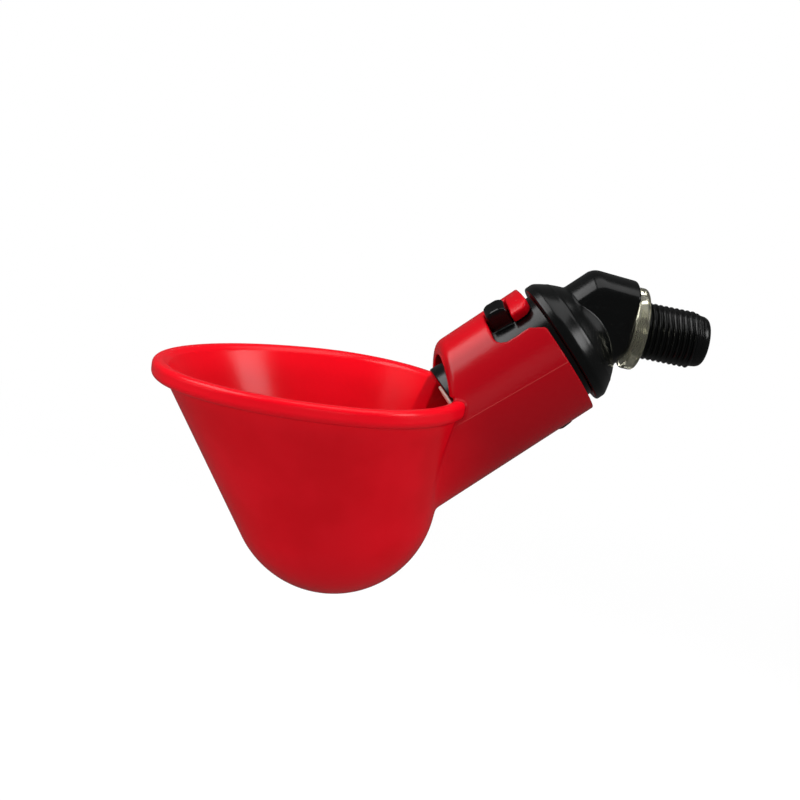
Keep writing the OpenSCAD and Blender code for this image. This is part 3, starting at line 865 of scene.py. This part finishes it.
spring = baked(spring_tree(),
               {"Radius": (SPRING_D - WIRE_D) / 2 * MM, "Height": (SPRING_LEN - WIRE_D) * MM,
                "Turns": SPRING_TURNS, "Wire": WIRE_D / 2 * MM, "Finish": SPRING_STEEL},
               "return_spring_coil", SPRING_STEEL)
neck_matrix = Matrix([[*row] for row in np.column_stack([NECK_TOP, SIDE, NECK_DOWN])]).to_4x4()
neck_matrix.translation = Vector(from_neck(0, 0, SPRING_AT + WIRE_D / 2) * MM)
spring.data.transform(neck_matrix)

# %% [markdown]
# ## Turned pieces
#
# The washer, the bush, the seat ring and the stem are all round. Each is an
# outline of radius against length whose corners are rounded a little, spun
# about its axis. An outline that touches the axis closes in a single point
# there.

# %% The lathe
SPIN_STEPS = 96


def softened(outline, radius, steps=4):
    """A closed outline with each corner off the axis replaced by a small arc."""
    made = []
    count = len(outline)
    for i, here in enumerate(outline):
        here, before, after = np.array(here), np.array(outline[i - 1]), np.array(outline[(i + 1) % count])
        if here[0] == 0:
            made.append(here)
            continue
        back, on = before - here, after - here
        reach = min(radius, 0.45 * np.linalg.norm(back), 0.45 * np.linalg.norm(on))
        first = here + back / np.linalg.norm(back) * reach
        last = here + on / np.linalg.norm(on) * reach
        for k in range(steps + 1):
            s = k / steps
            made.append((1 - s) ** 2 * first + 2 * s * (1 - s) * here + s * s * last)
    return made


def turned(name, outline, placed, finish):
    """Spins an outline of (radius, length) points; placed puts it on its axis."""
    points, rings = [], []
    for radius, length in outline:
        if radius == 0:
            rings.append([len(points)])
            points.append(placed(0.0, 0.0, length))
            continue
        rings.append(list(range(len(points), len(points) + SPIN_STEPS)))
        for k in range(SPIN_STEPS):
            a = 2 * math.pi * k / SPIN_STEPS
            points.append(placed(radius * math.cos(a), radius * math.sin(a), length))
    faces = []
    for i, ring in enumerate(rings):
        below = rings[(i + 1) % len(rings)]
        if len(ring) == 1 and len(below) == 1:
            continue
        for k in range(SPIN_STEPS):
            n = (k + 1) % SPIN_STEPS
            corners = [ring[k % len(ring)], ring[n % len(ring)], below[n % len(below)], below[k % len(below)]]
            faces.append(list(dict.fromkeys(corners)))
    piece = mesh_piece(name, points, faces, finish)
    piece.data.update()
    return piece


def on_inlet(u, v, t):
    """Places a turned point along the inlet."""
    return np.array([t, v, u])


def washer_outline():
    outer, inner = WASHER_D / 2, THREAD_D / 2 + WASHER_GAP
    return softened([(inner, -WASHER_T), (inner, 0), (outer, 0), (outer, -WASHER_T)], 0.45, 6)


def bush_outline():
    outer, inner = BUSH_D / 2, BUSH_HOLE / 2
    return softened([(inner, BUSH_AT), (inner, BUSH_END), (outer, BUSH_END), (outer, BUSH_AT)], 0.3)


def seal_outline():
    outer, inner = BUSH_D / 2, SEAL_HOLE / 2
    return softened([(inner, SEAL_AT), (inner, BUSH_AT), (outer, BUSH_AT), (outer, SEAL_AT)], 0.2)


def stem_outline():
    tip = BUSH_END + PIN_PROUD
    foot = HEAD_AT - BOSS_H
    return softened([(0, foot), (0, tip), (PIN_D / 2, tip), (PIN_D / 2, SEAL_AT),
                     (HEAD_D / 2, SEAL_AT), (HEAD_D / 2, HEAD_AT), (BOSS_D / 2, HEAD_AT),
                     (BOSS_D / 2, foot)], 0.35)


washer = turned("inlet_washer_ring", washer_outline(), on_inlet, WASHER)
bush = turned("outlet_bush_ring", bush_outline(), from_neck, BUSH)
seal = turned("seat_ring_rubber", seal_outline(), from_neck, RUBBER)
stem = turned("pecking_stem", stem_outline(), from_neck, STEM_STEEL)

# %% [markdown]
# ## Who moves with what
#
# Everything is fixed to the drinker except the stem, which a bird pushes in.
# The spring is squeezed between the chamber's shoulder and the stem's head,
# and in the real valve it shortens as the stem goes in; here it stays with the drinker at one length.

for piece, node, material_slot in (
        (cup, "cup", "cup_red"), (valve, "valve_body", "body_black"),
        (washer, "inlet_washer", "washer_clear"), (bush, "outlet_bush", "bush_pale"),
        (seal, "seat_ring", "seal_rubber"), (spring, "return_spring", "spring_steel")):
    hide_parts(node)
    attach(piece, "drinker")
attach(thread, "drinker")
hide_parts("valve_stem")
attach(stem, "stem")
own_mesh(spring)

# %% [markdown]
# ## Camera
#
# The photograph looks slightly down on the rim, a little from the bowl's
# side, and the drinker is tipped by seven degrees in the picture. The camera
# stands 400 mm away. It is aimed at the picture's centre instead of being
# shifted, so that other views stay centred.

# %% Camera at the photograph's angle
CAMERA_AZ, CAMERA_EL, CAMERA_ROLL = math.radians(-8.34), math.radians(10.19), math.radians(7.06)
CAMERA_MM, PIXELS_PER_MM = 400.0, 7.04
RIM_PIXEL = (335.63, 376.5)
IMAGE = 800

to_camera = np.array([math.cos(CAMERA_EL) * math.sin(CAMERA_AZ),
                      -math.cos(CAMERA_EL) * math.cos(CAMERA_AZ), math.sin(CAMERA_EL)])
level = np.array([math.cos(CAMERA_AZ), math.sin(CAMERA_AZ), 0.0])
upright = np.cross(to_camera, level)
right = math.cos(CAMERA_ROLL) * level + math.sin(CAMERA_ROLL) * upright
above = math.cos(CAMERA_ROLL) * upright - math.sin(CAMERA_ROLL) * level


def rim_to_row(vector):
    """A direction of the rim's frame, in the row frame."""
    return RIM_X * vector[0] + SIDE * vector[1] + RIM_Z * vector[2]


focal = PIXELS_PER_MM * CAMERA_MM
aim = -to_camera * focal + right * (IMAGE / 2 - RIM_PIXEL[0]) - above * (IMAGE / 2 - RIM_PIXEL[1])
aim /= np.linalg.norm(aim)
right = right - aim * (right @ aim)
right /= np.linalg.norm(right)
above = np.cross(right, aim)
camera = bpy.data.objects.new("camera", bpy.data.cameras.new("camera"))
scene.collection.objects.link(camera)
camera.data.sensor_width = 36.0
camera.data.lens = focal * camera.data.sensor_width / IMAGE
turn_camera = Matrix([[*row] for row in np.column_stack(
    [rim_to_row(right), rim_to_row(above), -rim_to_row(aim)])]).to_4x4()
turn_camera.translation = Vector((RIM_CENTRE + rim_to_row(to_camera) * CAMERA_MM) * MM)
camera.matrix_world = turn_camera
scene.camera = camera
print("lens in mm:", round(camera.data.lens, 1))

# %% [markdown]
# ## Light, floor and background
#
# The photograph was lit by large soft lamps in a white room, and shows plain
# white around the drinker. A pale world gives the even light, one large lamp
# overhead makes the rim bright, and one at the upper left gives the soft
# bands on the neck and inside the bowl. The floor lies below the hanging
# drinker and is white for the camera.

# %% Lamps
middle = (part_low + part_high) / 2


def lamp(name, azimuth, elevation, distance, size, radiance, mirrored=True):
    """A soft box in a direction from the drinker; radiance 1 is as bright as white paper."""
    a, e = math.radians(azimuth), math.radians(elevation)
    toward = Vector((math.cos(e) * math.cos(a), math.cos(e) * math.sin(a), math.sin(e)))
    light = bpy.data.lights.new(name, "AREA")
    light.shape = "RECTANGLE"
    light.size, light.size_y = size
    light.energy = radiance * math.pi * size[0] * size[1]
    item = bpy.data.objects.new(name, light)
    item.location = middle + toward * distance
    item.rotation_euler = toward.to_track_quat("Z", "Y").to_euler()
    item.visible_glossy = mirrored
    scene.collection.objects.link(item)
    return item


# The rim's brightness comes from these lamps and also from painted light in the red finish.
lamp("left_box", 174, 41, 0.55, (0.42, 0.26), 3.2)
lamp("right_box", -28, 38, 0.50, (0.18, 0.20), 4.5)
lamp("top_box", 0, 88, 0.60, (0.50, 0.50), 0.9)
lamp("top_fill", -90, 78, 0.70, (0.60, 0.60), 2.8, mirrored=False)
lamp("front_fill", -100, 8, 0.80, (0.50, 0.30), 4.6, mirrored=False)
lamp("bowl_fill", 178, 8, 0.80, (0.50, 0.30), 3.6, mirrored=False)
lamp("inlet_fill", -15, 8, 0.80, (0.50, 0.30), 2.4, mirrored=False)
lamp("back_fill", 82, 12, 0.80, (0.50, 0.30), 4.0, mirrored=False)

# %% World
def background(tree, strength):
    """A white background of this strength."""
    node = tree.nodes.new("ShaderNodeBackground")
    node.inputs["Color"].default_value = (1, 1, 1, 1)
    node.inputs["Strength"].default_value = strength
    return node.outputs[0]


def seen_share(tree):
    """1 for rays of the camera or through glass, 0 for the rest."""
    ray = tree.nodes.new("ShaderNodeLightPath")
    return maths(tree, "MAXIMUM", ray.outputs["Is Camera Ray"], ray.outputs["Is Transmission Ray"])


def dimmed_mirror(tree, surface):
    """The same surface, but dim where a glossy surface mirrors it."""
    ray = tree.nodes.new("ShaderNodeLightPath")
    dim = tree.nodes.new("ShaderNodeEmission")
    dim.inputs["Color"].default_value = (1, 1, 1, 1)
    dim.inputs["Strength"].default_value = MIRRORED
    return mix_of(tree, ray.outputs["Is Glossy Ray"], surface, dim.outputs[0])


def mix_of(tree, share, first, second):
    """A Mix Shader of two surfaces."""
    node = tree.nodes.new("ShaderNodeMixShader")
    tree.links.new(share, node.inputs["Fac"])
    tree.links.new(first, node.inputs[1])
    tree.links.new(second, node.inputs[2])
    return node.outputs[0]


ROOM_LIGHT, MIRRORED = 0.12, 0.08
world = bpy.data.worlds.new("white_room")
scene.world = world
world.use_nodes = True
tree = world.node_tree
tree.nodes.clear()
room = mix_of(tree, seen_share(tree), background(tree, ROOM_LIGHT), background(tree, 1.0))
mirrored_room = tree.nodes.new("ShaderNodeLightPath").outputs["Is Glossy Ray"]
room = mix_of(tree, mirrored_room, room, background(tree, MIRRORED))
tree.links.new(room, tree.nodes.new("ShaderNodeOutputWorld").inputs["Surface"])

# %% Floor
FLOOR_GAP, FLOOR_SIZE = 0.055, 3.0
floor_z = part_low.z - FLOOR_GAP
half = FLOOR_SIZE / 2
floor_mesh = bpy.data.meshes.new("floor")
floor_mesh.from_pydata([(-half, -half, floor_z), (half, -half, floor_z),
                        (half, half, floor_z), (-half, half, floor_z)], [], [(0, 1, 2, 3)])


def pale_floor():
    """White paper near the drinker, which fades into the white backdrop."""
    finish, tree, shader, place = new_finish("pale_floor")
    seen = seen_share(tree)
    paper = blend_colours(tree, seen, (0.36, 0.36, 0.36), (0.96, 0.96, 0.96))
    tree.links.new(paper, shader.inputs["Base Color"])
    shader.inputs["Roughness"].default_value = 0.9
    shader.inputs["Specular IOR Level"].default_value = 0.0
    flat = tree.nodes.new("ShaderNodeVectorMath")
    flat.operation = "MULTIPLY"
    flat.inputs[1].default_value = (1, 1, 0)
    tree.links.new(place, flat.inputs[0])
    reach = tree.nodes.new("ShaderNodeVectorMath")
    reach.operation = "LENGTH"
    tree.links.new(flat.outputs[0], reach.inputs[0])
    far = between(tree, reach.outputs["Value"], 0.12, 1.0, 0.10, 0.40)
    glow = tree.nodes.new("ShaderNodeEmission")
    glow.inputs["Strength"].default_value = 1.0
    surface = mix_of(tree, maths(tree, "MULTIPLY", far, seen), shader.outputs[0], glow.outputs[0])
    surface = dimmed_mirror(tree, surface)
    tree.links.new(surface, tree.nodes["Material Output"].inputs["Surface"])
    return finish


floor_mesh.materials.append(pale_floor())
floor = bpy.data.objects.new("floor", floor_mesh)
scene.collection.objects.link(floor)

# %% [markdown]
# ## Finish
#
# The picture is taken with the Standard view, which keeps colours as they
# are written.

# %% Finish
scene.view_settings.view_transform = "Standard"
